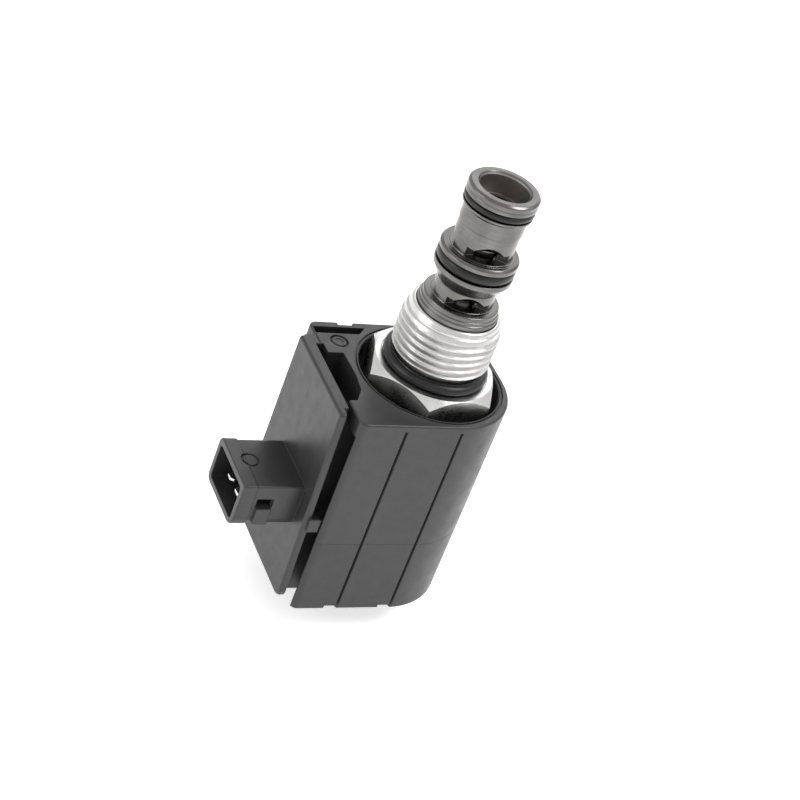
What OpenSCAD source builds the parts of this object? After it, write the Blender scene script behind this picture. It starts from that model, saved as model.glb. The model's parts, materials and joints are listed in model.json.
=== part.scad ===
// Solenoid cartridge valve: screw-in three-way cartridge with a swivelling coil.
// Millimetres, +Z up. The origin is on the valve axis, on the hexagon's seat face.
// +Z runs along the nose into the cavity, and the plug socket faces -X.

/* [Cartridge nose] */
// Distance from the seat face to the nose tip
nose_len = 46.2; // [44:0.1:48]
// Radius of the land nearest the tip
tip_land_r = 7.88; // [7.6:0.01:7.95]
// Radius of the land in the middle of the nose
mid_land_r = 8.8; // [8.6:0.01:8.9]
// Radius of both necks, where the ports are
neck_r = 6.85; // [6.5:0.05:7]
// Radius of the shoulder above the thread
shoulder_r = 9.06; // [8.9:0.01:9.2]
// Radius of the bore that the spool slides in
spool_bore_r = 4.65; // [4.4:0.05:4.8]
// Radius of the open mouth at the tip
mouth_r = 5.48; // [5.3:0.01:5.6]
// Distance from the axis to the floor of each milled port
port_floor = 3.6; // [3.4:0.1:4.6]
// Number of milled ports in each neck
port_count = 3; // [2:1:4]

/* [Hexagon and thread] */
// Size of the hexagon across its flats
hex_af = 27; // [26:0.5:28]
// Height of the hexagon
hex_h = 9.3; // [8:0.1:10]
// Major diameter of the thread (7/8-14 UN)
thread_d = 22.22; // [22:0.01:22.3]
// Start of the thread above the seat face
thread_z0 = 3.94; // [3.5:0.01:4.2]
// End of the full thread above the seat face
thread_z1 = 11.45; // [11:0.05:12]
// Thickness of the seat O-ring
seat_ring_t = 2.4; // [2.2:0.01:2.6]

/* [Coil] */
// Width of the coil block, and the diameter of its round side
coil_w = 36; // [35:0.5:38]
// Height of the coil block
coil_h = 52.7; // [50:0.1:54]
// Distance from the valve axis to the block's flat side
coil_flat_x = 22.9; // [22:0.1:24]
// Gap between the seat face and the top of the coil
coil_drop = 3.3; // [3:0.1:4]
// Radius of the front corner on the round side
corner_front_r = 16.9; // [14:0.1:17.5]
// Radius of the rear corner on the round side
corner_rear_r = 10.6; // [8:0.1:12]
// Distance between the two grooves in the front face
groove_pitch = 13.3; // [12:0.1:14]
// Radial clearance between the coil and the guide tube
coil_clearance = 0.1; // [0.05:0.01:0.1]

/* [Plug socket] */
// Width of the socket along Y
socket_w = 16.8; // [15:0.1:17]
// Height of the socket along Z
socket_h = 11.6; // [10:0.1:12]
// Distance from the valve axis to the socket's mouth
socket_x = 40.9; // [40:0.1:43]
// Thickness of the socket's wall
socket_wall = 1.3; // [1:0.1:2]
// Distance between the two terminal blades
blade_pitch = 5.1; // [5:0.1:5.5]

/* [Motion] */
// Travel of the armature and the spool
stroke = 2.5; // [1.5:0.1:2.8]
// Radial clearance of the armature in its tube
armature_clearance = 0.07; // [0.04:0.01:0.1]
// Radial clearance of the spool in the cage
spool_clearance = 0.02; // [0.01:0.01:0.04]

/* [Hidden] */
$fn = 96;

eps = 0.01;
cut = 1;

// Hexagon: its turn about the axis, and the size of its chamfer
hex_turn = 7;
hex_chamfer = 2.5;

// Heights on the nose, from the tip down
tip_groove = [41.7, 43.7];
tip_land_z = 41.1;
neck1_edge_z = 37.2;
neck1_edge_d = 0.25;
mid_land_top = 30.9;
mid_groove = [26.6, 29.4];
mid_land_z = 25.1;
neck2_z = 22.4;
shoulder_top = 18.5;
shoulder_step = 16.8;
shoulder_base = 9;
cage_base = -4;
cage_tail_r = 6.6;
neck_fillet = 0.5;
groove_depth = 1.45;
spring_bore_z = 36;
port_turn = -104;
port_cutter_r = 9;
port_bevel = [7.4, 5.7, 1.7];
port1_z = [31, 33.2];
port2_z = [18.6, 20.4];

// Spool
spool_r = spool_bore_r - spool_clearance;
spool_z = [8.1, 33.2];
spool_waist_r = 3.3;
spool_waists = [[11, 15.5], [18.2, 24.6], [29.2, 32.6]];
spool_hole_r = 2.2;
spool_cross_z = 13.2;

// Return spring
spring_wire = 0.7;
spring_r = 3.55;
spring_turns = 4;
spring_z = [33.25, 39.4];
seat_z = [39.5, 40.8];
seat_hole_r = 2.6;
snap_z = [40.9, 41.6];

// Seat: depth of the thread's relief, and the step that holds the O-ring
relief_r = thread_d / 2 - 1.6;
seat_step_r = 12.1;
seat_step = 0.25;
lead_in = 3.85;
snap_groove_r = 6.1;
snap_inner_r = 4.7;

// Solenoid tube
tube_r = 7.9;
tube_wall = 1;
tube_in = tube_r - tube_wall;
pole_face_z = -26;
pin_r = 1.5;
pin_clearance = 0.06;
armature_r = tube_in - armature_clearance;
armature_top = pole_face_z - stroke - 0.5;
armature_len = 20;
armature_bottom = armature_top - armature_len;
plug_z = armature_bottom - 0.5;

// Coil
coil_top = -coil_drop;
coil_bottom = coil_top - coil_h;
half_w = coil_w / 2;
left_corner_r = 1.8;
pocket_r = 16;
pocket_floor = -11;
cavity_r = 16.4;
cavity_floor = coil_bottom + 3;
coil_bore_r = tube_r + coil_clearance;
washer_t = 2.5;
sleeve_t = 1.4;
washer_top_z = pocket_floor - washer_t;
washer_bottom_z = cavity_floor + washer_t;
bobbin_core_r = 9.4;
bobbin_flange_t = 1.5;
bobbin_flange_r = 14.6;
winding_r = 14.2;
groove1_x = -11.8;
groove2_x = groove1_x + groove_pitch;
groove_w = 0.7;
groove_d = 0.7;
foot_notch_w = 3.1;
foot_notch_h = 1.0;

// Connector plate and socket
plate_x = -26.6;
plate_t = 2.8;
plate_lip_t = 1.5;
plate_rear_y = 12.9;
plate_lip_y = [-17.2, -14.8];
plate_inner_y = -12.4;
plate_h = 50.3;
plate_corner = 1.5;
plate_gap = -coil_flat_x - plate_x - plate_t;
rib_t = 3.2;
rib_z = [-14, -41];
rib_y = -4;
tab_x = -25.6;
tab_y = [-17, -14];
tab_z = [-34.2, -30.7];
side_slot_y = [-17, -11.2];
side_slot_d = 5;
socket_y = -3.5;
socket_z = -31.6;
socket_corner_r = [[3, 1.8], [0.5, 1.8]];
rim_len = 3.4;
rim_up = 0.2;
socket_in_w = socket_w - 2 * socket_wall;
socket_in_h = socket_h - 2 * socket_wall;
socket_inner_r = [[0.5, 0.5], [0.5, 0.5]];
socket_depth = 12;
blade_w = 2.8;
blade_t = 0.8;
blade_y = -3.05;
blade_z = -32.8;
blade_tip_x = -38.8;
latch_x = [-36.7, -32.8];
latch_z = [-36, -31.6];
latch_up = 0.8;
latch_window = 2.3;
blade_root_x = -17.2;

// Nut
nut_af = 17;
nut_h = 5.6;
nut_flange_h = 1.4;
nut_flange_r = 9.5;
stud_r = 5;
stud_len = 7.6;

module ring(outer, inner, z0, z1) {
    translate([0, 0, z0])
        difference() {
            cylinder(r = outer, h = z1 - z0);
            translate([0, 0, -cut]) cylinder(r = inner, h = z1 - z0 + 2 * cut);
        }
}

module torus(ring_r, section_r, z) {
    translate([0, 0, z])
        rotate_extrude() translate([ring_r, 0]) circle(r = section_r, $fn = 32);
}

module hexagon(af, z0, z1, turn) {
    rotate([0, 0, turn])
        translate([0, 0, z0]) cylinder(d = af / cos(30), h = z1 - z0, $fn = 6);
}

// Quarter-round bite out of a square corner at the origin
module corner_bite(r) {
    difference() {
        translate([-cut, -cut]) square([r + cut, r + cut]);
        translate([r, r]) circle(r = r);
    }
}

// Outline of the coil block seen from above
module block_outline() {
    difference() {
        translate([-coil_flat_x, -half_w]) square([coil_flat_x + half_w, coil_w]);
        translate([-coil_flat_x, -half_w]) corner_bite(left_corner_r);
        translate([-coil_flat_x, half_w]) mirror([0, 1]) corner_bite(left_corner_r);
        translate([half_w, -half_w]) mirror([1, 0]) corner_bite(corner_front_r);
        translate([half_w, half_w]) mirror([1, 0]) mirror([0, 1]) corner_bite(corner_rear_r);
    }
}

module cage_profile() {
    difference() {
        polygon([
            [spool_bore_r, cage_base], [cage_tail_r, cage_base],
            [cage_tail_r, shoulder_base], [shoulder_r, shoulder_base],
            [shoulder_r, shoulder_step], [shoulder_r - 0.5, shoulder_step + 0.15],
            [shoulder_r - 0.6, shoulder_step + 1.1], [neck_r + neck_fillet, shoulder_top],
            [neck_r, shoulder_top],
            [neck_r, neck2_z], [mid_land_r - 0.3, mid_land_z], [mid_land_r, mid_land_z + 0.3],
            [mid_land_r, mid_land_top - 0.4], [mid_land_r - 0.4, mid_land_top],
            [neck_r, mid_land_top],
            [neck_r, neck1_edge_z + 3.2], [neck_r + neck1_edge_d, neck1_edge_z + 3.3],
            [neck_r + neck1_edge_d, tip_land_z - 0.2], [tip_land_r - 0.2, tip_land_z],
            [tip_land_r, tip_land_z + 0.2],
            [tip_land_r, nose_len - 0.6], [tip_land_r - 0.6, nose_len],
            [mouth_r + 0.3, nose_len], [mouth_r, nose_len - 0.3],
            [mouth_r, spring_bore_z], [spool_bore_r, spring_bore_z]
        ]);
        for (g = [tip_groove])
            translate([tip_land_r - groove_depth, g[0]]) square([groove_depth + cut, g[1] - g[0]]);
        for (g = [mid_groove])
            translate([mid_land_r - groove_depth, g[0]]) square([groove_depth + cut, g[1] - g[0]]);
        translate([mouth_r - cut, snap_z[0]])
            square([snap_groove_r - mouth_r + cut, snap_z[1] - snap_z[0]]);
    }
    for (z = [shoulder_top, mid_land_top])
        difference() {
            translate([neck_r - eps, z - eps]) square([neck_fillet + eps, neck_fillet + eps]);
            translate([neck_r + neck_fillet, z + neck_fillet]) circle(r = neck_fillet);
        }
}

// Slots cut by a disc, just deep enough to open into the bore, with a bevel above each
module ports(z) {
    for (i = [0 : port_count - 1])
        rotate([0, 0, port_turn + i * 360 / port_count])
            translate([port_floor + port_cutter_r, 0, 0]) {
                translate([0, 0, z[0]]) cylinder(r = port_cutter_r, h = z[1] - z[0]);
                translate([0, 0, z[1] - eps])
                    cylinder(r1 = port_bevel[0], r2 = port_bevel[1], h = port_bevel[2]);
            }
}

module cage() {
    color("dimgray")
        difference() {
            rotate_extrude() cage_profile();
            ports(port1_z);
            ports(port2_z);
        }
}

module hex_adapter() {
    color("gainsboro")
        difference() {
            union() {
                intersection() {
                    hexagon(hex_af, -hex_h, 0, hex_turn);
                    rotate_extrude() polygon([
                        [0, -hex_h], [hex_af / 2 - 0.3, -hex_h],
                        [hex_af / 2 + hex_chamfer, -hex_h + hex_chamfer / 2],
                        [hex_af / 2 + hex_chamfer, -hex_chamfer], [hex_af / 2 - 0.1, 0], [0, 0]
                    ]);
                }
                rotate_extrude() polygon([
                    [0, -eps], [relief_r, -eps], [relief_r, thread_z0 - 0.7],
                    [thread_d / 2, thread_z0], [thread_d / 2, thread_z1],
                    [shoulder_r + 0.7, thread_z1 + lead_in], [0, thread_z1 + lead_in]
                ]);
            }
            translate([0, 0, shoulder_base]) cylinder(r = shoulder_r, h = nose_len);
            translate([0, 0, -hex_h - cut]) cylinder(r = cage_tail_r, h = nose_len);
            ring(seat_step_r, relief_r, -seat_step, cut);
        }
}

module seat_o_ring() {
    color("black")
        torus(relief_r + seat_ring_t / 2, seat_ring_t / 2, seat_ring_t / 2 - seat_step + 0.02);
}

// O-ring squeezed to the land's diameter, as it is inside its cavity
module land_ring(land_r, groove) {
    t = groove[1] - groove[0];
    inner = land_r - groove_depth;
    outer = land_r - 0.02;
    translate([0, 0, groove[0]])
        rotate_extrude()
            intersection() {
                translate([inner, 0.1]) square([outer - inner, t - 0.2]);
                translate([(inner + outer) / 2, t / 2]) circle(r = t / 2 - 0.02, $fn = 32);
            }
}

module nose_o_ring_tip() {
    color("black") land_ring(tip_land_r, tip_groove);
}

module nose_o_ring_middle() {
    color("black") land_ring(mid_land_r, mid_groove);
}

// Wire ring with a gap, sprung into the groove inside the mouth
module nose_retaining_ring() {
    color("silver")
        difference() {
            ring(snap_groove_r - 0.1, snap_inner_r, snap_z[0] + 0.05, snap_z[1] - 0.05);
            translate([0, -1.5, snap_z[0] - cut]) cube([snap_groove_r + cut, 3, 4]);
        }
}

module spring_seat() {
    color("darkgray")
        difference() {
            ring(mouth_r - 0.03, seat_hole_r, seat_z[0], seat_z[1]);
            ring(mouth_r + cut, mouth_r - 0.35, seat_z[1] - 0.3, seat_z[1] + cut);
        }
}

// Wire rings at even spacing stand in for the coils of the spring
module spool_return_spring() {
    span = spring_z[1] - spring_z[0] - spring_wire;
    color("silver")
        for (i = [0 : spring_turns])
            torus(spring_r, spring_wire / 2,
                  spring_z[0] + spring_wire / 2 + i * span / spring_turns);
}

module spool() {
    color("rosybrown")
        difference() {
            ring(spool_r, spool_hole_r, spool_z[0], spool_z[1]);
            translate([0, 0, spool_z[0] - cut]) cylinder(r = spool_hole_r, h = cut + 0.01);
            for (w = spool_waists) ring(spool_r + cut, spool_waist_r, w[0], w[1]);
            for (a = [0, 90])
                rotate([0, 90, a])
                    translate([-spool_cross_z, 0, -spool_r]) cylinder(r = 0.9, h = 2 * spool_r);
        }
    color("rosybrown") ring(spool_hole_r + eps, 0.6, spool_z[0], spool_z[0] + 2);
}

module pole_piece() {
    color("slategray")
        difference() {
            union() {
                translate([0, 0, pole_face_z]) cylinder(r = tube_in, h = -hex_h - pole_face_z);
                translate([0, 0, -hex_h - eps]) cylinder(r = cage_tail_r, h = hex_h + cage_base);
            }
            translate([0, 0, pole_face_z - cut])
                cylinder(r = pin_r + pin_clearance, h = -pole_face_z + 2 * cut);
        }
}

module guide_tube() {
    color("silver") ring(tube_r, tube_in, coil_bottom, -hex_h);
}

module tube_end_plug() {
    color("silver") {
        translate([0, 0, coil_bottom - 0.6]) cylinder(r = tube_in, h = plug_z - coil_bottom + 0.6);
        translate([0, 0, coil_bottom - stud_len]) cylinder(r = stud_r, h = stud_len);
    }
}

module armature() {
    vent_r = 0.9;
    vent_ring_r = 4.6;
    color("lightsteelblue")
        difference() {
            translate([0, 0, armature_bottom]) cylinder(r = armature_r, h = armature_len);
            translate([0, 0, armature_top - 8]) cylinder(r = pin_r, h = 8 + cut);
            for (a = [0, 180])
                rotate([0, 0, a])
                    translate([vent_ring_r, 0, armature_bottom - cut])
                        cylinder(r = vent_r, h = armature_len + 2 * cut);
        }
}

module push_pin() {
    color("silver")
        translate([0, 0, armature_top - 8])
            cylinder(r = pin_r, h = spool_z[0] - 0.1 - armature_top + 8);
}

module coil_seal_top() {
    color("black") torus(tube_r + 0.75, 0.74, -hex_h - 0.76);
}

module coil_seal_bottom() {
    color("black") torus(stud_r + 0.75, 0.74, coil_bottom - 1.42);
}

module coil_nut() {
    top = coil_bottom - 0.62;
    color("gainsboro")
        difference() {
            union() {
                translate([0, 0, top - nut_flange_h]) cylinder(r = nut_flange_r, h = nut_flange_h);
                hexagon(nut_af, top - nut_flange_h - nut_h, top - nut_flange_h + eps, 0);
            }
            translate([0, 0, top - nut_flange_h - nut_h - cut])
                cylinder(r = stud_r, h = nut_h + nut_flange_h + 2 * cut);
            ring(stud_r + 2.1, stud_r - cut, top - 1.6, top + cut);
        }
}

// V-shaped line down the front face
module front_groove(x) {
    translate([x, -half_w, coil_bottom - cut])
        linear_extrude(coil_h - 2.2 + cut)
            polygon([[-groove_w / 2, -cut], [-groove_w / 2, 0], [0, groove_d],
                     [groove_w / 2, 0], [groove_w / 2, -cut]]);
}

module foot_notch(x) {
    translate([x - foot_notch_w, -half_w - cut, coil_bottom - cut])
        cube([foot_notch_w, cut + 2.5, foot_notch_h + cut]);
}

module coil_housing() {
    side_x = -coil_flat_x;
    color("dimgray")
        difference() {
            translate([0, 0, coil_bottom]) linear_extrude(coil_h) block_outline();
            translate([0, 0, pocket_floor]) cylinder(r = pocket_r, h = coil_h);
            ring(pocket_r + 0.85, pocket_r + 0.45, coil_top - 0.4, coil_top + cut);
            translate([0, 0, cavity_floor]) cylinder(r = cavity_r, h = pocket_floor - cavity_floor);
            translate([0, 0, coil_bottom - cut]) cylinder(r = tube_r + 0.6, h = coil_h);
            front_groove(groove1_x);
            front_groove(groove2_x);
            foot_notch(groove1_x);
            foot_notch(groove2_x);
            // slot behind the rear wall, and the notch in that wall's edge
            top_recess(6, [[side_x + 0.4, 13.6], [-12, 13.6], [-9.9, 15.9], [side_x + 0.4, 15.9]]);
            translate([-16, 16.6, coil_top - 0.9]) cube([4, 4, 2]);
            // pocket in the top beside the connector plate
            top_recess(7, [[side_x - cut, -9.7], [-20.9, -9.7], [-18.7, -6], [-18.1, -1.3],
                           [-18.3, 6.7], [-22, 6.7], [-22, 9.7], [side_x - cut, 9.7]]);
            // deep slot in the flat side, just behind the plate's front edge
            translate([side_x - cut, side_slot_y[0], coil_bottom - cut])
                cube([side_slot_d + cut, side_slot_y[1] - side_slot_y[0], coil_h - 4 + cut]);
            // clearance for the terminal blades
            translate([side_x - cut, blade_y - 5, blade_z - 1.5])
                cube([blade_root_x - side_x + 0.2 + cut, 10, 3]);
            translate([-17.8, 10.9, coil_top - 0.5]) stake_seat();
        }
}

// Recess in the block's top, of the given depth and outline
module top_recess(depth, outline) {
    translate([0, 0, coil_top - depth]) linear_extrude(depth + cut) polygon(outline);
}

module stake_seat() {
    cylinder(r = 2.1, h = 2);
    translate([0, 0, -6]) cylinder(r = 1.1, h = 7);
}

module mounting_stake() {
    color("dimgray") {
        translate([-17.8, 10.9, coil_top - 6.4]) cylinder(r = 1.1, h = 6.2);
        translate([-17.8, 10.9, coil_top - 0.5]) cylinder(r = 1.75, h = 0.5);
    }
}

module flux_washer_top() {
    color("slategray") ring(cavity_r, coil_bore_r, washer_top_z, pocket_floor);
}

module flux_washer_bottom() {
    color("slategray") ring(cavity_r, coil_bore_r, cavity_floor, washer_bottom_z);
}

module flux_sleeve() {
    color("slategray") ring(cavity_r, cavity_r - sleeve_t, washer_bottom_z, washer_top_z);
}

module coil_bobbin() {
    color("ivory") {
        ring(bobbin_core_r, coil_bore_r, washer_bottom_z, washer_top_z);
        ring(bobbin_flange_r, coil_bore_r, washer_top_z - bobbin_flange_t, washer_top_z);
        ring(bobbin_flange_r, coil_bore_r, washer_bottom_z, washer_bottom_z + bobbin_flange_t);
    }
}

module copper_winding() {
    color("peru")
        ring(winding_r, bobbin_core_r, washer_bottom_z + bobbin_flange_t,
             washer_top_z - bobbin_flange_t);
}

// Bar along X, centred on the socket's own axis; r holds a radius for each corner
module socket_bar(x0, x1, w, h, r) {
    translate([x1, socket_y, socket_z])
        rotate([0, -90, 0])
            linear_extrude(x1 - x0)
                difference() {
                    square([h, w], center = true);
                    for (i = [0, 1], j = [0, 1])
                        mirror([i, 0]) mirror([0, j]) translate([-h / 2, -w / 2]) corner_bite(r[i][j]);
                }
}

// Upright plate of thickness t; its front edge runs from front_y[0] below to front_y[1] above
module connector_plate(t, front_y) {
    translate([plate_x, 0, coil_top - plate_h])
        rotate([90, 0, 90])
            linear_extrude(t)
                polygon([
                    [front_y[0] + plate_corner, 0], [plate_rear_y, 0], [plate_rear_y, plate_h],
                    [front_y[1], plate_h], [front_y[0], plate_corner]
                ]);
}

// Block that bridges the gap from the plate to the coil's flat side
module bridge(y0, y1, z0, z1) {
    translate([plate_x + plate_t - eps, y0, z0]) cube([plate_gap + eps, y1 - y0, z1 - z0]);
}

module connector_housing() {
    back_x = -coil_flat_x;
    front_y = socket_y - socket_w / 2;
    plate_bottom = coil_top - plate_h;
    color("gray")
        difference() {
            union() {
                connector_plate(plate_lip_t, plate_lip_y);
                connector_plate(plate_t, [plate_inner_y, plate_inner_y]);
                socket_bar(-socket_x, plate_x + eps, socket_w, socket_h, socket_corner_r);
                socket_bar(-socket_x, -socket_x + rim_len, socket_w + 2 * rim_up,
                           socket_h + 2 * rim_up, socket_corner_r);
                // latch lug on the front wall
                translate([latch_x[0], front_y - latch_up, latch_z[0]])
                    cube([latch_x[1] - latch_x[0], latch_up + eps, latch_z[1] - latch_z[0]]);
                for (z = rib_z) bridge(rib_y, rib_y + rib_t, z - rib_t, z);
                bridge(9.7, plate_rear_y, plate_bottom, coil_top);
                translate([tab_x, tab_y[0], tab_z[0]])
                    cube([back_x - tab_x, tab_y[1] - tab_y[0], tab_z[1] - tab_z[0]]);
            }
            socket_bar(-socket_x - cut, -socket_x + socket_depth, socket_in_w, socket_in_h,
                       socket_inner_r);
            // window above the latch lug
            translate([latch_x[0], front_y - cut, latch_z[1]])
                cube([latch_x[1] - latch_x[0], 2 * cut + socket_wall, latch_window]);
            for (s = [-1, 1]) blade_slot(s);
        }
}

module blade_slot(side) {
    translate([-socket_x, blade_y + side * blade_pitch / 2 - blade_w / 2,
               blade_z - blade_t / 2])
        cube([socket_x, blade_w, blade_t]);
}

// Flat blade with a bevelled tip, running in to the winding's edge
module blade(side) {
    y = blade_y + side * blade_pitch / 2;
    color("lightgray")
        translate([0, 0, blade_z - blade_t / 2])
            linear_extrude(blade_t)
                polygon([
                    [blade_tip_x, y - blade_w / 2 + 0.7], [blade_tip_x + 1, y - blade_w / 2],
                    [blade_root_x, y - blade_w / 2], [blade_root_x, y + blade_w / 2],
                    [blade_tip_x + 1, y + blade_w / 2], [blade_tip_x, y + blade_w / 2 - 0.7]
                ]);
}

module terminal_blade_front() {
    blade(-1);
}

module terminal_blade_rear() {
    blade(1);
}

cage();
hex_adapter();
seat_o_ring();
nose_o_ring_tip();
nose_o_ring_middle();
nose_retaining_ring();
spring_seat();
spool_return_spring();
spool();
pole_piece();
guide_tube();
tube_end_plug();
armature();
push_pin();
coil_seal_top();
coil_seal_bottom();
coil_nut();
coil_housing();
coil_bobbin();
copper_winding();
flux_sleeve();
flux_washer_top();
flux_washer_bottom();
connector_housing();
terminal_blade_front();
terminal_blade_rear();
mounting_stake();
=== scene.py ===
import json
import math

import bmesh
import bpy
from mathutils import Matrix, Vector


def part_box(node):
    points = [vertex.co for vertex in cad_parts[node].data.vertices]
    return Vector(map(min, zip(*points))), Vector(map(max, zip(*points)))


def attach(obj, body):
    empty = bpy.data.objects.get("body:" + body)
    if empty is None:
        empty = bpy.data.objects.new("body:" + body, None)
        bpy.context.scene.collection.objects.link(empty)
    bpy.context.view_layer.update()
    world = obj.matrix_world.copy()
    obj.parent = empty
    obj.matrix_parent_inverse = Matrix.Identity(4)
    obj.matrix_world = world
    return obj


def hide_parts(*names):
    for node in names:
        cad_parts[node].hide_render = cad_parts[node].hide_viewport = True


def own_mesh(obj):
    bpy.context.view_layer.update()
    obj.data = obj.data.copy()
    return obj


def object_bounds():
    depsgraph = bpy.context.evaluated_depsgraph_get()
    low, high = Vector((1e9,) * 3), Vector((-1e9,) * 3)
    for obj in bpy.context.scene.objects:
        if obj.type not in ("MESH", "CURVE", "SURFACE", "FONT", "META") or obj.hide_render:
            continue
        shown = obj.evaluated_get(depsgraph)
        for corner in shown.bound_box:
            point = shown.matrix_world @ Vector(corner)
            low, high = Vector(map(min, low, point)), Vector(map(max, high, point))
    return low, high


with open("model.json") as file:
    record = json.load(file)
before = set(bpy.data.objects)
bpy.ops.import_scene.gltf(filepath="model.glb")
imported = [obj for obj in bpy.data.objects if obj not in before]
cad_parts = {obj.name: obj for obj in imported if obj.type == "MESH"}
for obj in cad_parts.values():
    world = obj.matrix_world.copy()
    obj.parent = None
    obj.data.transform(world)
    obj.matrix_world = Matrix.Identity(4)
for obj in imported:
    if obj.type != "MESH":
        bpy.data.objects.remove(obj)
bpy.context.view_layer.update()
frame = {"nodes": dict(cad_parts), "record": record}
scene = bpy.context.scene
MM = 0.001


# ---------------------------------------------------------------- mesh tools
def new_object(name, verts, faces):
    mesh = bpy.data.meshes.new(name)
    mesh.from_pydata([Vector(v) * MM for v in verts], [], faces)
    obj = bpy.data.objects.new(name, mesh)
    scene.collection.objects.link(obj)
    clean(obj)
    return obj


def clean(obj):
    bm = bmesh.new()
    bm.from_mesh(obj.data)
    bmesh.ops.remove_doubles(bm, verts=bm.verts, dist=2e-7)
    bmesh.ops.dissolve_degenerate(bm, edges=bm.edges, dist=1e-7)
    bmesh.ops.recalc_face_normals(bm, faces=bm.faces)
    bm.to_mesh(obj.data)
    bm.free()


LATHE_STEPS = 5


def fillet(points, steps):
    """Rounds the corners of a closed outline; a point is (a, b) or (a, b, radius)."""
    out = []
    count = len(points)
    for i, point in enumerate(points):
        p = Vector(point[:2])
        radius = point[2] if len(point) > 2 else 0
        if radius <= 0:
            out.append(tuple(p))
            continue
        u = Vector(points[i - 1][:2]) - p
        v = Vector(points[(i + 1) % count][:2]) - p
        lu, lv = u.length, v.length
        u.normalize()
        v.normalize()
        half = u.angle(v) / 2
        reach = min(radius / math.tan(half), 0.48 * lu, 0.48 * lv)
        radius = reach * math.tan(half)
        centre = p + (u + v).normalized() * (radius / math.sin(half))
        a = (p + u * reach) - centre
        b = (p + v * reach) - centre
        turn = a.angle_signed(b)
        for k in range(steps + 1):
            q = a.copy()
            q.rotate(Matrix.Rotation(-turn * k / steps, 2))
            out.append(tuple(centre + q))
    return out


def lathe(name, profile, segments=144):
    outline = fillet(profile, LATHE_STEPS)
    n = len(outline)
    verts, faces = [], []
    for s in range(segments):
        a = 2 * math.pi * s / segments
        verts += [(r * math.cos(a), r * math.sin(a), z) for r, z in outline]
    for s in range(segments):
        t = (s + 1) % segments
        for i in range(n):
            j = (i + 1) % n
            faces.append((s * n + i, t * n + i, t * n + j, s * n + j))
    return new_object(name, verts, faces)


def rect_outline(box, radii, inset, steps):
    """Rectangle with rounded corners, counter-clockwise from the low corner."""
    x0, x1, y0, y1 = box
    corners = [(x0, y0, 1, 1), (x1, y0, -1, 1), (x1, y1, -1, -1), (x0, y1, 1, -1)]
    out = []
    for k, (x, y, sx, sy) in enumerate(corners):
        r = max(radii[k], 0.02)
        cx, cy = x + sx * r, y + sy * r
        rr = max(r - inset, 0.001)
        cx += sx * max(inset - r, 0)
        cy += sy * max(inset - r, 0)
        start = math.pi * (1 + 0.5 * k)
        for i in range(steps + 1):
            a = start + math.pi / 2 * i / steps
            out.append((cx + rr * math.cos(a), cy + rr * math.sin(a)))
    return out


def along_z(a, b, c):
    return (a, b, c)


def along_x(a, b, c):
    return (c, a, b)


def rounded_bar(name, box, radii, c0, c1, edge0=0.3, edge1=0.3, place=along_z, steps=10, rings=4):
    """Bar with rounded corners, and rounded rims of radius edge0 and edge1 at its two ends."""
    levels = [(c0 + edge0 * (1 - math.cos(math.pi / 2 * k / rings)),
               edge0 * (1 - math.sin(math.pi / 2 * k / rings))) for k in range(rings + 1)]
    levels += [(c1 - edge1 * (1 - math.cos(math.pi / 2 * k / rings)),
                edge1 * (1 - math.sin(math.pi / 2 * k / rings))) for k in range(rings, -1, -1)]
    verts, faces = [], []
    for c, inset in levels:
        verts += [place(a, b, c) for a, b in rect_outline(box, radii, inset, steps)]
    n = 4 * (steps + 1)
    for k in range(len(levels) - 1):
        for i in range(n):
            j = (i + 1) % n
            faces.append((k * n + i, k * n + j, (k + 1) * n + j, (k + 1) * n + i))
    faces.append(tuple(range(n))[::-1])
    faces.append(tuple((len(levels) - 1) * n + i for i in range(n)))
    return new_object(name, verts, faces)


def box_piece(name, x0, x1, y0, y1, z0, z1, edge=0.0):
    if edge > 0:
        return rounded_bar(name, (x0, x1, y0, y1), [edge] * 4, z0, z1, edge, edge, steps=3, rings=3)
    verts = [(x, y, z) for z in (z0, z1) for y in (y0, y1) for x in (x0, x1)]
    faces = [(0, 2, 3, 1), (4, 5, 7, 6), (0, 1, 5, 4), (2, 6, 7, 3), (0, 4, 6, 2), (1, 3, 7, 5)]
    return new_object(name, verts, faces)


def tube_cutter(name, outer, inner, z0, z1):
    return lathe(name, [(inner, z0), (outer, z0), (outer, z1), (inner, z1)])


def plug_cutter(name, radius, p0, p1, segments=48):
    axis = Vector(p1) - Vector(p0)
    side = axis.orthogonal().normalized() * radius
    verts, faces = [], []
    for end in (p0, p1):
        for s in range(segments):
            q = side.copy()
            q.rotate(Matrix.Rotation(2 * math.pi * s / segments, 3, axis))
            verts.append(Vector(end) + q)
    for s in range(segments):
        t = (s + 1) % segments
        faces.append((s, t, segments + t, segments + s))
    faces.append(tuple(range(segments))[::-1])
    faces.append(tuple(range(segments, 2 * segments)))
    return new_object(name, verts, faces)


def boolean(obj, others, operation="DIFFERENCE"):
    for other in others:
        mod = obj.modifiers.new("cut", "BOOLEAN")
        mod.operation = operation
        mod.solver = "EXACT"
        mod.object = other
        bpy.context.view_layer.objects.active = obj
        bpy.ops.object.modifier_apply(modifier=mod.name)
        bpy.data.objects.remove(other)
    clean(obj)
    return obj


def finish_piece(obj, body, material, nodes, angle):
    obj.data.polygons.foreach_set("use_smooth", [True] * len(obj.data.polygons))
    obj.data.set_sharp_from_angle(angle=math.radians(angle))
    weighted = obj.modifiers.new("flat faces stay flat", "WEIGHTED_NORMAL")
    weighted.keep_sharp = True
    weighted.weight = 60
    obj.data.materials.clear()
    obj.data.materials.append(material)
    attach(obj, body)
    if nodes:
        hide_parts(*nodes)
    return obj


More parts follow.
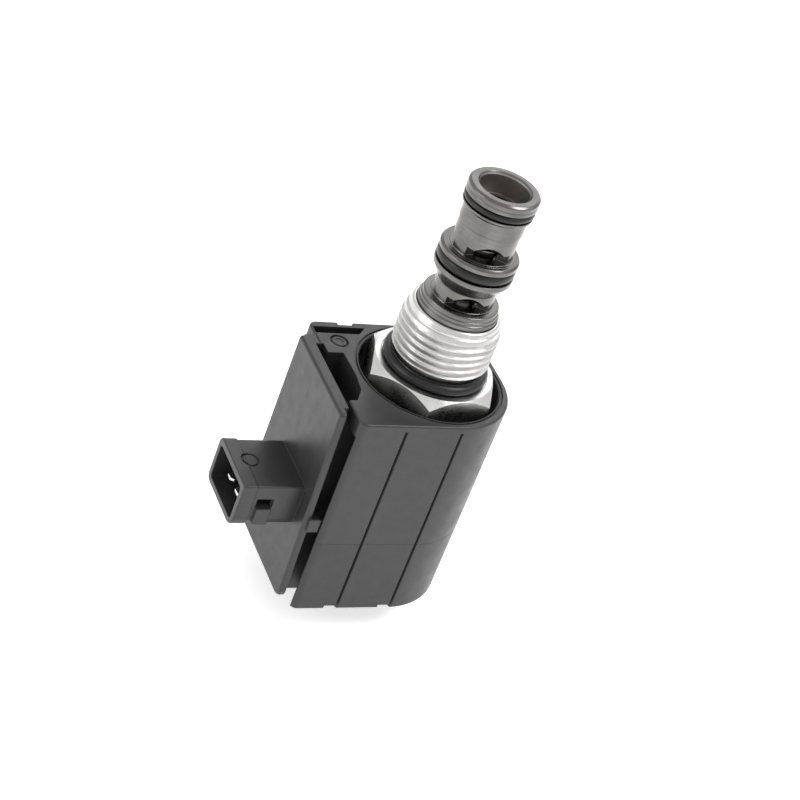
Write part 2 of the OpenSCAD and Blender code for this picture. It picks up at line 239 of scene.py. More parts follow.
# ---------------------------------------------------------------- materials
class Nodes:
    def __init__(self, name):
        self.mat = bpy.data.materials.new(name)
        self.mat.use_nodes = True
        self.tree = self.mat.node_tree
        self.shader = self.tree.nodes["Principled BSDF"]
        self.coords = self.add("ShaderNodeTexCoord").outputs["Object"]

    def add(self, kind, **settings):
        node = self.tree.nodes.new(kind)
        for key, value in settings.items():
            setattr(node, key, value)
        return node

    def link(self, a, b):
        self.tree.links.new(a, b)

    def math(self, operation, a, b=0.0):
        node = self.add("ShaderNodeMath", operation=operation)
        for socket, value in zip(node.inputs, (a, b)):
            if isinstance(value, (int, float)):
                socket.default_value = value
            else:
                self.link(value, socket)
        return node.outputs[0]

    def noise(self, scale, detail=2.0, rough=0.5, vector=None, stretch=(1, 1, 1)):
        node = self.add("ShaderNodeTexNoise")
        node.inputs["Scale"].default_value = scale
        node.inputs["Detail"].default_value = detail
        node.inputs["Roughness"].default_value = rough
        source = vector or self.coords
        if stretch != (1, 1, 1):
            mapping = self.add("ShaderNodeMapping")
            mapping.inputs["Scale"].default_value = stretch
            self.link(source, mapping.inputs["Vector"])
            source = mapping.outputs["Vector"]
        self.link(source, node.inputs["Vector"])
        return node.outputs["Fac"]

    def ramp(self, factor, stops):
        node = self.add("ShaderNodeValToRGB")
        elements = node.color_ramp.elements
        while len(elements) < len(stops):
            elements.new(0.5)
        for element, (position, colour) in zip(elements, stops):
            element.position = position
            element.color = (*colour, 1) if len(colour) == 3 else colour
        self.link(factor, node.inputs["Fac"])
        return node.outputs["Color"]

    def span(self, factor, low, high, start=0.3, end=0.7):
        node = self.add("ShaderNodeMapRange")
        node.inputs["From Min"].default_value = start
        node.inputs["From Max"].default_value = end
        node.inputs["To Min"].default_value = low
        node.inputs["To Max"].default_value = high
        self.link(factor, node.inputs["Value"])
        return node.outputs["Result"]

    def lathe_coords(self):
        """(distance from the axis, height, 0), so that noise on it makes turned lines."""
        split = self.add("ShaderNodeSeparateXYZ")
        self.link(self.coords, split.inputs[0])
        xx = self.math("MULTIPLY", split.outputs["X"], split.outputs["X"])
        yy = self.math("MULTIPLY", split.outputs["Y"], split.outputs["Y"])
        radius = self.math("SQRT", self.math("ADD", xx, yy))
        join = self.add("ShaderNodeCombineXYZ")
        self.link(radius, join.inputs["X"])
        self.link(split.outputs["Z"], join.inputs["Y"])
        return join.outputs[0]

    def bevel(self, radius):
        node = self.add("ShaderNodeBevel", samples=6)
        node.inputs["Radius"].default_value = radius
        return node.outputs["Normal"]

    def edge(self, rounded, gain):
        """Near 1 where the rounded normal leaves the face's own, which is along sharp edges."""
        geometry = self.add("ShaderNodeNewGeometry")
        dot = self.add("ShaderNodeVectorMath", operation="DOT_PRODUCT")
        self.link(geometry.outputs["Normal"], dot.inputs[0])
        self.link(rounded, dot.inputs[1])
        away = self.math("SUBTRACT", 1.0, dot.outputs["Value"])
        node = self.add("ShaderNodeMath", operation="MULTIPLY", use_clamp=True)
        self.link(away, node.inputs[0])
        node.inputs[1].default_value = gain
        return node.outputs[0]

    def mix(self, factor, a, b):
        node = self.add("ShaderNodeMix", data_type="RGBA")
        for socket, value in ((node.inputs["Factor"], factor), (node.inputs[6], a), (node.inputs[7], b)):
            if isinstance(value, (int, float)):
                socket.default_value = value
            elif isinstance(value, tuple):
                socket.default_value = (*value, 1)
            else:
                self.link(value, socket)
        return node.outputs[2]

    def bump(self, height, distance, strength=1.0, normal=None):
        node = self.add("ShaderNodeBump")
        node.inputs["Strength"].default_value = strength
        node.inputs["Distance"].default_value = distance
        self.link(height, node.inputs["Height"])
        if normal is not None:
            self.link(normal, node.inputs["Normal"])
        return node.outputs["Normal"]

    def set(self, **values):
        for key, value in values.items():
            socket = self.shader.inputs[key.replace("_", " ")]
            if isinstance(value, (int, float)):
                socket.default_value = value
            else:
                self.link(value, socket)
        return self.mat


PLASTIC_BEVEL, PLASTIC_GRAIN, PLASTIC_DEPTH = 0.00025, 2600, 1.2e-5
METAL_BEVEL, SPOT_TONE = 0.00012, 0.85
BORED_FROM, BORED_ROUGHNESS = 0.035, 0.48


def grey(v, warm=0.0):
    return (v * (1 + warm), v, v * (1 - warm))


def plastic(name, low, high, rough=(0.36, 0.48), edge=1.5):
    n = Nodes(name)
    cloud = n.noise(70, 4, 0.6)
    fibres = n.noise(520, 3, 0.6, stretch=(1, 1, 3))
    base = n.ramp(n.math("ADD", n.math("MULTIPLY", cloud, 0.6), n.math("MULTIPLY", fibres, 0.4)),
                  [(0.35, grey(low)), (0.65, grey(high))])
    rounded = n.bevel(PLASTIC_BEVEL)
    worn = n.mix(n.edge(rounded, edge), base, grey(high * 1.9))
    grain = n.noise(PLASTIC_GRAIN, 3, 0.55)
    height = n.math("ADD", grain, n.math("MULTIPLY", n.noise(240, 2), 1.5))
    n.shader.inputs["Specular IOR Level"].default_value = 0.42
    return n.set(Base_Color=worn, Roughness=n.span(n.noise(330, 3), *rough),
                 Normal=n.bump(height, PLASTIC_DEPTH, 1.0, rounded))


def turned_metal(name, low, high, warm=0.0, rough=(0.22, 0.34), lines=5200, depth=3e-6, bore=None):
    """Metal with turned lines; inside the bore radius and near the tip it is rougher and browner."""
    n = Nodes(name)
    path = n.lathe_coords()
    fine = n.noise(lines, 3, 0.6, vector=path)
    coarse = n.noise(lines / 7, 2, 0.5, vector=path)
    cloud = n.noise(160, 5, 0.62)
    blend = n.math("ADD", n.math("MULTIPLY", fine, 0.35), n.math("MULTIPLY", cloud, 0.65))
    base = n.ramp(blend, [(0.32, grey(low, warm)), (0.68, grey(high, warm))])
    spots = n.ramp(n.noise(900, 4, 0.7), [(0.62, (1, 1, 1)), (0.78, grey(SPOT_TONE))])
    mixed = n.add("ShaderNodeMix", data_type="RGBA", blend_type="MULTIPLY")
    mixed.inputs["Factor"].default_value = 1.0
    n.link(base, mixed.inputs[6])
    n.link(spots, mixed.inputs[7])
    height = n.math("ADD", fine, n.math("MULTIPLY", coarse, 2.0))
    rounded = n.bevel(METAL_BEVEL)
    colour = mixed.outputs[2]
    streaks = n.math("ADD", n.math("MULTIPLY", fine, 0.5), n.math("MULTIPLY", cloud, 0.5))
    shine = n.span(streaks, *rough, 0.35, 0.65)
    if bore:
        split = n.add("ShaderNodeSeparateXYZ")
        n.link(path, split.inputs[0])
        inside = n.math("MULTIPLY", n.span(split.outputs["X"], 1.0, 0.0, bore, bore + 0.0002),
                        n.span(split.outputs["Y"], 0.0, 1.0, BORED_FROM, BORED_FROM + 0.0005))
        bored = n.ramp(cloud, [(0.3, (0.22, 0.20, 0.18)), (0.7, (0.31, 0.285, 0.265))])
        colour = n.mix(inside, colour, bored)
        shine = n.math("MAXIMUM", shine, n.math("MULTIPLY", inside, BORED_ROUGHNESS))
    return n.set(Base_Color=colour, Metallic=1.0, Roughness=shine,
                 Normal=n.bump(height, depth, 1.0, rounded))


def rubber(name, low, high):
    n = Nodes(name)
    base = n.ramp(n.noise(420, 4, 0.6), [(0.35, grey(low)), (0.7, (high, high, high * 1.12))])
    height = n.math("ADD", n.noise(3800, 3), n.math("MULTIPLY", n.noise(700, 2), 1.4))
    n.shader.inputs["Specular IOR Level"].default_value = 0.3
    return n.set(Base_Color=base, Roughness=n.span(n.noise(900, 2), 0.3, 0.42),
                 Normal=n.bump(height, 6e-6))


def wound_copper(name):
    n = Nodes(name)
    path = n.lathe_coords()
    wave = n.add("ShaderNodeTexWave", wave_type="BANDS", bands_direction="Y")
    wave.inputs["Scale"].default_value = 480
    wave.inputs["Distortion"].default_value = 0.6
    n.link(path, wave.inputs["Vector"])
    base = n.ramp(wave.outputs["Fac"], [(0.1, (0.20, 0.06, 0.02)), (0.6, (0.75, 0.33, 0.14))])
    return n.set(Base_Color=base, Metallic=0.9, Roughness=n.span(n.noise(300, 2), 0.25, 0.4),
                 Normal=n.bump(wave.outputs["Fac"], 6e-5))


COIL_PLASTIC = plastic("coil plastic", 0.017, 0.0225)
SOCKET_PLASTIC = plastic("socket plastic", 0.0165, 0.0225, rough=(0.34, 0.45))
NOSE_STEEL = turned_metal("nose steel", 0.085, 0.165, 0.03, (0.2, 0.3), depth=5e-6, bore=0.0056)
ZINC = turned_metal("zinc plate", 0.45, 0.60, 0.008, (0.24, 0.38), lines=3600, depth=4e-6)
BRIGHT_STEEL = turned_metal("bright steel", 0.42, 0.55, 0.0, (0.2, 0.32))
SPOOL_STEEL = turned_metal("spool steel", 0.24, 0.34, 0.10, (0.22, 0.32))
IRON = turned_metal("flux iron", 0.16, 0.24, 0.0, (0.4, 0.55), lines=1500, depth=8e-6)
TIN = turned_metal("tin plate", 0.62, 0.75, 0.01, (0.22, 0.35), lines=900)
RUBBER = rubber("o ring rubber", 0.005, 0.011)
BOBBIN = plastic("bobbin plastic", 0.62, 0.70, edge=0.2)
COPPER = wound_copper("wound copper")
SLOT_LOOK = {
    "zinc_steel": ZINC, "dark_steel": NOSE_STEEL, "bright_steel": BRIGHT_STEEL,
    "spool_steel": SPOOL_STEEL, "rubber_black": RUBBER, "coil_plastic": COIL_PLASTIC,
    "connector_plastic": SOCKET_PLASTIC, "bobbin_plastic": BOBBIN, "copper": COPPER,
    "flux_iron": IRON, "tin_plate": TIN,
}
for part in frame["record"]["subparts"]:
    node = frame["nodes"][part["node"]]
    for place in node.material_slots:
        place.material = SLOT_LOOK[part["material_slot"]]


# ---------------------------------------------------------------- nose
def box_mm(node):
    low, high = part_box(node)
    return [v * 1000 for v in low], [v * 1000 for v in high]


NOSE_END = box_mm("cage")[1][2]
TIP_R = 7.88
MID_R = 8.8
NECK_R = 6.85
BORE_R = 4.65
MOUTH_R = 5.48
TIP_GROOVE = (41.7, 43.7)
MID_GROOVE = (26.6, 29.4)
PORT_HEIGHTS = ((31.0, 33.2), (18.6, 20.4))
PORT_COUNT, PORT_TURN = 3, -104
PORT_CUTTER_R, PORT_CUTTER_X = 9.0, 12.6


def make_cage():
    cage = lathe("nose_cage", [
        (BORE_R, -4), (6.6, -4), (6.6, 9.02), (9.05, 9.02, 0.2),
        (9.05, 16.35, 0.25), (8.75, 16.6, 0.1), (8.72, 17.2, 0.1), (8.5, 17.3, 0.1), (8.45, 18.3, 0.3),
        (7.4, 18.5, 0.3), (NECK_R, 18.5, 0.4),
        (NECK_R, 22.4, 1.2), (8.5, 25.0, 0.5), (MID_R, 25.5, 0.3),
        (MID_R, MID_GROOVE[0], 0.12), (MID_R - 1.45, MID_GROOVE[0], 0.1),
        (MID_R - 1.45, MID_GROOVE[1], 0.1), (MID_R, MID_GROOVE[1], 0.12),
        (MID_R, 30.35, 0.3), (8.35, 30.88, 0.3), (7.9, 30.9), (7.86, 30.84), (7.6, 30.84), (7.56, 30.9),
        (NECK_R, 30.9, 0.4),
        (NECK_R, 37.1, 0.1), (NECK_R + 0.2, 37.25, 0.1), (NECK_R + 0.2, 40.6, 0.3),
        (TIP_R - 0.3, 41.05, 0.18), (TIP_R - 0.12, 41.25, 0.1),
        (TIP_R - 0.12, TIP_GROOVE[0], 0.1), (TIP_R - 1.45, TIP_GROOVE[0], 0.1),
        (TIP_R - 1.45, TIP_GROOVE[1], 0.1), (TIP_R, TIP_GROOVE[1], 0.12),
        (TIP_R, 44.55, 0.05), (TIP_R - 0.07, 44.62, 0.03),
        (TIP_R - 0.07, 44.74, 0.03), (TIP_R, 44.82, 0.05),
        (TIP_R, 45.75, 0.35), (7.35, NOSE_END, 0.25),
        (MOUTH_R + 0.5, NOSE_END, 0.2), (MOUTH_R + 0.05, 45.6, 0.15), (MOUTH_R + 0.05, 41.6),
        (6.1, 41.6), (6.1, 40.9), (MOUTH_R, 40.9), (MOUTH_R, 36.0), (BORE_R, 36.0),
    ], 192)
    ports = []
    for z0, z1 in PORT_HEIGHTS:
        for k in range(PORT_COUNT):
            port = lathe("port", [
                (0, z0), (PORT_CUTTER_R, z0, 0.15), (PORT_CUTTER_R, z1, 0.1), (7.4, z1, 0.2),
                (5.7, z1 + 1.7), (0, z1 + 1.7)], 128)
            turn = math.radians(PORT_TURN + 360 / PORT_COUNT * k)
            port.data.transform(Matrix.Rotation(turn, 4, "Z")
                                @ Matrix.Translation((PORT_CUTTER_X * MM, 0, 0)))
            ports.append(port)
    boolean(cage, ports)
    return finish_piece(cage, "valve", NOSE_STEEL, ["cage"], 28)


def land_ring(name, outer, groove, node):
    z0, z1 = groove
    mid = (z0 + z1) / 2
    rise = (z1 - z0) / 2 - 0.22
    depth = 0.72
    profile = []
    for k in range(32):
        a = 2 * math.pi * k / 32
        c, s = math.cos(a), math.sin(a)
        profile.append((outer - depth + depth * math.copysign(abs(c) ** 0.9, c),
                        mid + rise * math.copysign(abs(s) ** 0.9, s)))
    return finish_piece(lathe(name, profile, 144), "valve", RUBBER, [node], 70)


def o_ring(name, node):
    low, high = box_mm(node)
    section = (high[2] - low[2]) / 2
    radius = high[0] - section
    mid = (low[2] + high[2]) / 2
    around = 28
    profile = [(radius + section * math.cos(2 * math.pi * k / around),
                mid + section * math.sin(2 * math.pi * k / around)) for k in range(around)]
    return finish_piece(lathe(name, profile, 128), "valve", RUBBER, [node], 70)


# ---------------------------------------------------------------- hexagon and thread
PITCH = 25.4 / 14
MAJOR_R = 11.11
THREAD_DEPTH = 0.6134 * PITCH
RELIEF_R = MAJOR_R - 1.6
THREAD_TOP = 15.3


def thread_radius(z, turn):
    phase = (z / PITCH - turn) % 1.0
    away = abs(phase - 0.5) * PITCH
    flank = (away - PITCH / 14) / (THREAD_DEPTH * 0.56)
    flank = min(max(flank, 0.0), 1.0)
    flank = flank + 0.06 * math.sin(2 * math.pi * flank) * -1
    radius = MAJOR_R - 0.02 - THREAD_DEPTH * flank
    cone = MAJOR_R - (z - 11.45) * 0.35
    start = RELIEF_R + (z - 3.2) * 2.3
    return max(min(radius, cone, start), RELIEF_R)


def make_thread():
    segments, step = 216, 0.085
    rows = int((THREAD_TOP - 0.35 - 3.2) / step)
    heights = [3.2 + (THREAD_TOP - 0.35 - 3.2) * k / rows for k in range(rows + 1)]
    verts, faces = [], []
    rings = [(-0.24, 9.1), (-0.24, RELIEF_R), (3.15, RELIEF_R)]
    for z, r in rings:
        verts += [(r * math.cos(2 * math.pi * s / segments),
                   r * math.sin(2 * math.pi * s / segments), z) for s in range(segments)]
    for z in heights:
        for s in range(segments):
            a = 2 * math.pi * s / segments
            r = thread_radius(z, s / segments)
            verts.append((r * math.cos(a), r * math.sin(a), z))
    for z, r in [(THREAD_TOP - 0.08, 9.62), (THREAD_TOP, 9.5), (THREAD_TOP, 9.2),
                 (THREAD_TOP - 0.1, 9.1)]:
        verts += [(r * math.cos(2 * math.pi * s / segments),
                   r * math.sin(2 * math.pi * s / segments), z) for s in range(segments)]
    total = len(verts) // segments
    for k in range(total):
        m = (k + 1) % total
        for s in range(segments):
            t = (s + 1) % segments
            faces.append((k * segments + s, k * segments + t, m * segments + t, m * segments + s))
    thread = new_object("adapter_thread", verts, faces)
    return finish_piece(thread, "valve", ZINC, ["hex_adapter"], 40)


def hexagon(name, flats, z0, z1, turn, chamfer_top, chamfer_bottom, extra=2.5):
    r = flats / 2 / math.cos(math.pi / 6)
    verts = [(r * math.cos(turn + k * math.pi / 3), r * math.sin(turn + k * math.pi / 3), z)
             for z in (z0, z1) for k in range(6)]
    faces = [(0, 5, 4, 3, 2, 1), (6, 7, 8, 9, 10, 11)]
    faces += [(k, (k + 1) % 6, 6 + (k + 1) % 6, 6 + k) for k in range(6)]
    body = new_object(name, verts, faces)
    f = flats / 2
    envelope = lathe("envelope", [
        (0, z0), (f - 0.15 if chamfer_bottom else f + extra, z0),
        (f + extra, z0 + chamfer_bottom if chamfer_bottom else z0 + 0.01),
        (f + extra, z1 - chamfer_top if chamfer_top else z1 - 0.01),
        (f - 0.1 if chamfer_top else f + extra, z1), (0, z1)], 160)
    return boolean(body, [envelope], "INTERSECT")


def make_hex():
    bottom = box_mm("hex_adapter")[0][2]
    body = hexagon("adapter_hexagon", 27, bottom, 0.0, math.radians(7), 2.5, 1.25)
    boolean(body, [
        plug_cutter("bore", 6.65, (0, 0, -12), (0, 0, 2), 96),
        tube_cutter("seat", 12.1, 9.0, -0.25, 1.0),
    ])
    return finish_piece(body, "valve", ZINC, ["hex_adapter"], 24)


# ---------------------------------------------------------------- coil block
FLAT_X = -22.9
HALF_W = 18.0
TOP = -3.3
BOTTOM = box_mm("coil_housing")[0][2]
BLOCK = (FLAT_X, HALF_W, -HALF_W, HALF_W)
BLOCK_R = [1.8, 16.9, 10.6, 1.8]
GROOVES = (-11.8, 1.5)
STAKE_X, STAKE_Y = -17.8, 10.9
PARTING_Z = -36.7
BLADE_Y, BLADE_Z = -3.05, -32.8
BLADE_STEP = 2.55


def prism(name, outline, z0, z1):
    n = len(outline)
    verts = [(x, y, z) for z in (z0, z1) for x, y in outline]
    faces = [tuple(range(n))[::-1], tuple(range(n, 2 * n))]
    faces += [(k, (k + 1) % n, n + (k + 1) % n, n + k) for k in range(n)]
    return new_object(name, verts, faces)


def v_cutter(x, width, depth, z0, z1):
    y = -HALF_W
    verts = []
    for z in (z0, z1):
        verts += [(x - width / 2, y - 1, z), (x - width / 2, y, z), (x, y + depth, z),
                  (x + width / 2, y, z), (x + width / 2, y - 1, z)]
    faces = [(0, 1, 2, 3, 4), (9, 8, 7, 6, 5)]
    faces += [(k, 5 + k, 5 + (k + 1) % 5, (k + 1) % 5) for k in range(5)]
    return new_object("groove", verts, faces)


def parting_line(z):
    """Thin V-shaped cutter round the block where the two halves of its mould met."""
    out = rect_outline(BLOCK, BLOCK_R, -0.5, 16)
    inner = rect_outline(BLOCK, BLOCK_R, 0.1, 16)
    n = len(out)
    verts = [(x, y, z - 0.35) for x, y in out] + [(x, y, z) for x, y in inner]
    verts += [(x, y, z + 0.35) for x, y in out]
    faces = []
    for a, b in ((0, n), (n, 2 * n), (2 * n, 0)):
        faces += [(a + k, a + (k + 1) % n, b + (k + 1) % n, b + k) for k in range(n)]
    return new_object("parting_line", verts, faces)


def make_block():
    block = rounded_bar("coil_block", BLOCK, BLOCK_R, BOTTOM, TOP, 0.5, 0.55, steps=16)
    cuts = [
        lathe("pocket", [(0, -11), (16.0, -11), (16.0, TOP - 0.3, 0.2),
                         (16.3, TOP + 0.01), (16.3, 2), (0, 2)]),
        tube_cutter("top_ring", 16.95, 16.5, TOP - 0.45, 1),
        lathe("cavity", [(0, BOTTOM + 3), (16.4, BOTTOM + 3), (16.4, -11.01), (0, -11.01)], 96),
        plug_cutter("bore", 8.5, (0, 0, BOTTOM - 2), (0, 0, -5), 96),
        prism("rear_slot", [(-22.5, 13.6), (-12, 13.6), (-9.9, 15.9), (-22.5, 15.9)], TOP - 6, 2),
        box_piece("rear_notch", -16.0, -12.0, 16.7, 22, TOP - 0.9, 2),
        prism("side_pocket", [(-26, -9.7), (-20.9, -9.7), (-18.7, -6), (-18.1, -1.3), (-18.3, 6.7),
                              (-22, 6.7), (-22, 9.7), (-26, 9.7)], TOP - 7, 2),
        box_piece("side_slot", -26, -17.9, -17.0, -11.2, BOTTOM - 1, TOP - 4),
        box_piece("blade_way", -26, -17.0, BLADE_Y - 5, BLADE_Y + 5, BLADE_Z - 1.5, BLADE_Z + 1.5),
        plug_cutter("stake_seat", 2.15, (STAKE_X, STAKE_Y, TOP - 0.5), (STAKE_X, STAKE_Y, 1)),
        plug_cutter("stake_hole", 1.15, (STAKE_X, STAKE_Y, TOP - 6.5), (STAKE_X, STAKE_Y, -1)),
    ]
    for x in GROOVES:
        cuts.append(v_cutter(x, 0.75, 0.8, BOTTOM - 1, TOP - 1.6))
        cuts.append(box_piece("foot", x - 3.1, x, -20, -15.6, BOTTOM - 1, BOTTOM + 1.0))
    cuts.append(parting_line(PARTING_Z))
    boolean(block, cuts)
    return finish_piece(block, "coil", COIL_PLASTIC, ["coil_housing"], 30)


def make_stake():
    stake = lathe("moulded_stake", [
        (0, TOP - 6.4), (1.1, TOP - 6.4), (1.1, TOP - 0.48), (1.75, TOP - 0.48),
        (1.75, TOP - 0.15, 0.15), (1.5, TOP - 0.02, 0.15), (1.05, TOP - 0.02, 0.1),
        (0.9, TOP - 0.2, 0.1), (0, TOP - 0.2)], 48)
    stake.data.transform(Matrix.Translation((STAKE_X * MM, STAKE_Y * MM, 0)))
    return finish_piece(stake, "coil", COIL_PLASTIC, ["mounting_stake"], 35)


# ---------------------------------------------------------------- plug socket
SOCKET_Y, SOCKET_Z = -3.5, -31.6
SOCKET_W, SOCKET_H, SOCKET_WALL = 16.8, 11.6, 1.3
PLATE_X0, PLATE_LIP_X, PLATE_X1 = -26.6, -25.1, -23.8
PLATE_Z0 = TOP - 50.3
SHROUD_R = [3.0, 1.8, 1.8, 0.5]


def socket_box(w, h):
    return (SOCKET_Y - w / 2, SOCKET_Y + w / 2, SOCKET_Z - h / 2, SOCKET_Z + h / 2)


def upright(name, outline, x0, x1, edge):
    """Plate of a (Y, Z) outline from x0 to x1, with its rim rounded at x0."""
    n = len(outline)
    verts = [(x, y, z) for x in (x0, x1) for y, z in outline]
    faces = [tuple(range(n)), tuple(range(n, 2 * n))]
    faces += [(k, (k + 1) % n, n + (k + 1) % n, n + k) for k in range(n)]
    plate = new_object(name, verts, faces)
    bm = bmesh.new()
    bm.from_mesh(plate.data)
    rim = [e for e in bm.edges if all(abs(v.co.x - x0 * MM) < 1e-7 for v in e.verts)]
    bmesh.ops.bevel(bm, geom=rim, offset=edge * MM, segments=5, affect="EDGES", profile=0.5)
    bm.to_mesh(plate.data)
    bm.free()
    return plate


def oval_mark(x, y, z, radius, width, depth):
    ring = lathe("oval_mark", [(radius - width, -depth), (radius, -depth),
                               (radius, 1), (radius - width, 1)], 48)
    ring.data.transform(Matrix.Translation((x * MM, y * MM, z * MM)))
    return ring


def make_socket():
    mouth = box_mm("connector_housing")[0][0]
    front = SOCKET_Y - SOCKET_W / 2
    outline = fillet([(-17.2, PLATE_Z0, 2.2), (12.9, PLATE_Z0, 0.8), (12.9, TOP, 0.8),
                      (-14.8, TOP, 0.8)], 6)
    plate = upright("socket_housing", outline, PLATE_X0, PLATE_LIP_X, 0.7)
    adds = [
        upright("inner_plate", [(-12.4, PLATE_Z0 + 0.02), (12.85, PLATE_Z0 + 0.02), (12.85, TOP - 0.03),
                                (-12.4, TOP - 0.03)], PLATE_X1, PLATE_LIP_X - 0.4, 0.15),
        rounded_bar("shroud", socket_box(SOCKET_W, SOCKET_H), SHROUD_R, mouth + 0.5, PLATE_X1 - 0.4,
                    0.1, 0.1, along_x, steps=8),
        rounded_bar("rim", socket_box(SOCKET_W + 0.4, SOCKET_H + 0.4), SHROUD_R, mouth, mouth + 3.4,
                    0.3, 0.2, along_x, steps=8),
        box_piece("lug", -36.5, -33.0, front - 0.75, front + 0.4, -36.0, -31.5, 0.3),
        box_piece("rib", PLATE_X1 - 0.3, FLAT_X, -4, -0.8, -17.2, -14),
        box_piece("rib", PLATE_X1 - 0.3, FLAT_X, -4, -0.8, -44.2, -41),
        box_piece("rear_rib", PLATE_X1 - 0.3, FLAT_X, 9.7, 12.9, PLATE_Z0, TOP - 0.02),
        box_piece("tab", -25.6, FLAT_X, -17, -14, -34.2, -30.7, 0.25),
    ]
    boolean(plate, adds, "UNION")
    inner_w, inner_h = SOCKET_W - 2 * SOCKET_WALL, SOCKET_H - 2 * SOCKET_WALL
    cuts = [
        rounded_bar("well", socket_box(inner_w, inner_h), [0.9] * 4, mouth - 1, mouth + 12, 0.01, 0.3,
                    along_x, steps=6),
        box_piece("window", -36.7, -32.8, front - 2, front + SOCKET_WALL + 0.4, -31.6, -29.3, 0.2),
        oval_mark(-36.6, -3.1, SOCKET_Z + SOCKET_H / 2, 2.2, 0.55, 0.3),
    ]
    for side in (-1, 1):
        y = BLADE_Y + side * BLADE_STEP
        cuts.append(box_piece("blade_way", -42, -20, y - 1.4, y + 1.4, BLADE_Z - 0.4, BLADE_Z + 0.4))
    boolean(plate, cuts)
    return finish_piece(plate, "coil", SOCKET_PLASTIC, ["connector_housing"], 30)


def make_blade(name, side, node):
    """Flat blade with a bevelled tip, which stands in the socket."""
    y = BLADE_Y + side * BLADE_STEP
    outline = fillet([(-38.8, y - 0.75, 0.3), (-38.0, y - 1.4, 0.4), (-17.2, y - 1.4), (-17.2, y + 1.4),
                      (-38.0, y + 1.4, 0.4), (-38.8, y + 0.75, 0.3)], 4)
    blade = prism(name, outline, BLADE_Z - 0.4, BLADE_Z + 0.4)
    bm = bmesh.new()
    bm.from_mesh(blade.data)
    rim = [e for e in bm.edges if abs(e.verts[0].co.z - e.verts[1].co.z) < 1e-7]
    bmesh.ops.bevel(bm, geom=rim, offset=0.00014, segments=2, affect="EDGES", profile=0.5)
    bm.to_mesh(blade.data)
    bm.free()
    return finish_piece(blade, "coil", TIN, [node], 35)


# ---------------------------------------------------------------- inside the nose
def make_spring():
    low, high = box_mm("spool_return_spring")
    wire = 0.35
    radius = high[0] - wire
    z0, z1 = low[2] + wire, high[2] - wire
    turns, per_turn, around = 4.6, 44, 10
    steps = int(turns * per_turn)
    verts, faces = [], []
    for k in range(steps + 1):
        a = 2 * math.pi * k / per_turn
        f = k / steps
        rise = min(max((f - 0.13) / 0.74, 0), 1)
        centre = Vector((radius * math.cos(a), radius * math.sin(a), z0 + (z1 - z0) * rise))
        out = Vector((math.cos(a), math.sin(a), 0))
        for s in range(around):
            b = 2 * math.pi * s / around
            verts.append(centre + out * wire * math.cos(b) + Vector((0, 0, wire * math.sin(b))))
    for k in range(steps):
        for s in range(around):
            t = (s + 1) % around
            faces.append((k * around + s, k * around + t, (k + 1) * around + t, (k + 1) * around + s))
    faces.append(tuple(range(around)))
    faces.append(tuple(steps * around + s for s in range(around))[::-1])
    spring = new_object("return_spring", verts, faces)
    finish_piece(spring, "valve", BRIGHT_STEEL, ["spool_return_spring"], 60)
    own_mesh(spring)
    return spring


def make_nut():
    low, high = box_mm("coil_nut")
    top, bottom = high[2], low[2]
    nut = hexagon("coil_nut_body", 17, bottom, top - 1.0, 0, 0, 0.9, 1.0)
    flange = lathe("flange", [(5.02, top - 1.4), (9.5, top - 1.4, 0.3), (9.5, top, 0.25),
                              (7.1, top), (7.1, top - 1), (5.02, top - 1)], 96)
    boolean(nut, [flange], "UNION")
    boolean(nut, [plug_cutter("bore", 5.0, (0, 0, bottom - 2), (0, 0, top + 1), 96),
                  tube_cutter("seal_room", 7.1, 4.0, top - 1.6, top + 1)])
    return finish_piece(nut, "valve", ZINC, ["coil_nut"], 28)


make_cage()
land_ring("o_ring_tip", TIP_R - 0.03, TIP_GROOVE, "nose_o_ring_tip")
land_ring("o_ring_middle", MID_R - 0.03, MID_GROOVE, "nose_o_ring_middle")
o_ring("o_ring_seat", "seat_o_ring")
make_thread()
make_hex()
make_block()
make_stake()
make_socket()
make_blade("blade_front", -1, "terminal_blade_front")
make_blade("blade_rear", 1, "terminal_blade_rear")
make_spring()
make_nut()


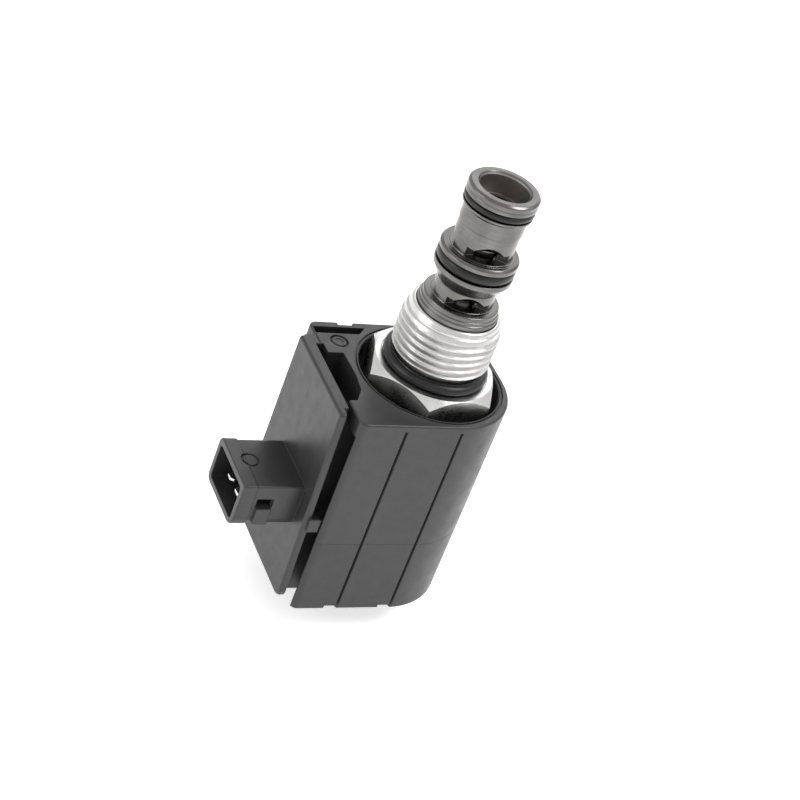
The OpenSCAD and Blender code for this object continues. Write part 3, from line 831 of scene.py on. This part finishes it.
# ---------------------------------------------------------------- camera, floor and light
SENSOR_MM, PHOTO_PX = 36, 800
FLOOR_GAP, FLOOR_HALF = 0.2, 3000
azimuth, elevation, roll = math.radians(-33.42), math.radians(33.40), math.radians(21.86)
focal_px, distance, shift_x, shift_y, aim_z = 2242.1, 487.44, 6.37, 5.44, -3.3
back = Vector((math.sin(azimuth) * math.cos(elevation), -math.cos(azimuth) * math.cos(elevation),
               math.sin(elevation)))
level = Vector((math.cos(azimuth), math.sin(azimuth), 0))
rise = back.cross(level)
right = math.cos(roll) * level + math.sin(roll) * rise
up = -math.sin(roll) * level + math.cos(roll) * rise
camera = bpy.data.objects.new("camera", bpy.data.cameras.new("camera"))
scene.collection.objects.link(camera)
turn = Matrix((right, up, back)).transposed().to_4x4()
turn.translation = (distance * back - shift_x * right - shift_y * up + Vector((0, 0, aim_z))) * MM
camera.matrix_world = turn
camera.data.sensor_width = SENSOR_MM
camera.data.lens = focal_px * SENSOR_MM / PHOTO_PX
camera.data.clip_start = 0.01
scene.camera = camera
scene.view_settings.view_transform = "Standard"


def area_light(name, direction, reach, size, power):
    light = bpy.data.lights.new(name, "AREA")
    light.shape = "DISK"
    light.size = size
    light.energy = power
    obj = bpy.data.objects.new(name, light)
    scene.collection.objects.link(obj)
    obj.location = Vector(direction).normalized() * reach
    obj.rotation_euler = Vector(direction).to_track_quat("Z", "Y").to_euler()
    return obj


area_light("key", right * 0.9 + up * 0.5 + back * 0.5, 0.6, 0.3, 1.9)
area_light("fill", -right * 0.8 + up * 0.3 + back * 0.6, 0.7, 0.4, 1.5)
area_light("behind", (0.46, 0.70, 0.58), 0.8, 0.7, 1.3)

world = bpy.data.worlds.new("soft studio")
scene.world = world
world.use_nodes = True
world.node_tree.nodes["Background"].inputs["Color"].default_value = (1, 1, 1, 1)
world.node_tree.nodes["Background"].inputs["Strength"].default_value = 1.0

floor_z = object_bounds()[0][2] * 1000 - FLOOR_GAP
corners = [(-FLOOR_HALF, -FLOOR_HALF), (FLOOR_HALF, -FLOOR_HALF), (FLOOR_HALF, FLOOR_HALF),
           (-FLOOR_HALF, FLOOR_HALF)]
floor = new_object("floor", [(x, y, floor_z) for x, y in corners], [(0, 1, 2, 3)])
# painted light: the floor glows, and glows brighter in a painted light pool in front of the object, so
# that the metals reflect it as highlights
floor_tint_and_glow = Nodes("floor tint and painted glow")
painted_light_pool = floor_tint_and_glow.add("ShaderNodeVectorMath", operation="DISTANCE")
floor_tint_and_glow.link(floor_tint_and_glow.coords, painted_light_pool.inputs[0])
painted_light_pool.inputs[1].default_value = (-0.026, -0.148, floor_z * MM)
floor_tint_and_glow.shader.inputs["Emission Color"].default_value = (1, 1, 1, 1)
# painted light pool: emission 1.3 near the pool centre, falling to 0.45 further out
floor_tint_and_glow.set(Emission_Strength=floor_tint_and_glow.span(painted_light_pool.outputs["Value"], 1.3, 0.45, 0.035, 0.11))
mottle = floor_tint_and_glow.ramp(floor_tint_and_glow.noise(6, 3), [(0.3, grey(0.88)), (0.7, grey(0.92))])
floor_tint_and_glow.set(Base_Color=mottle, Roughness=0.9)
floor.data.materials.append(floor_tint_and_glow.mat)
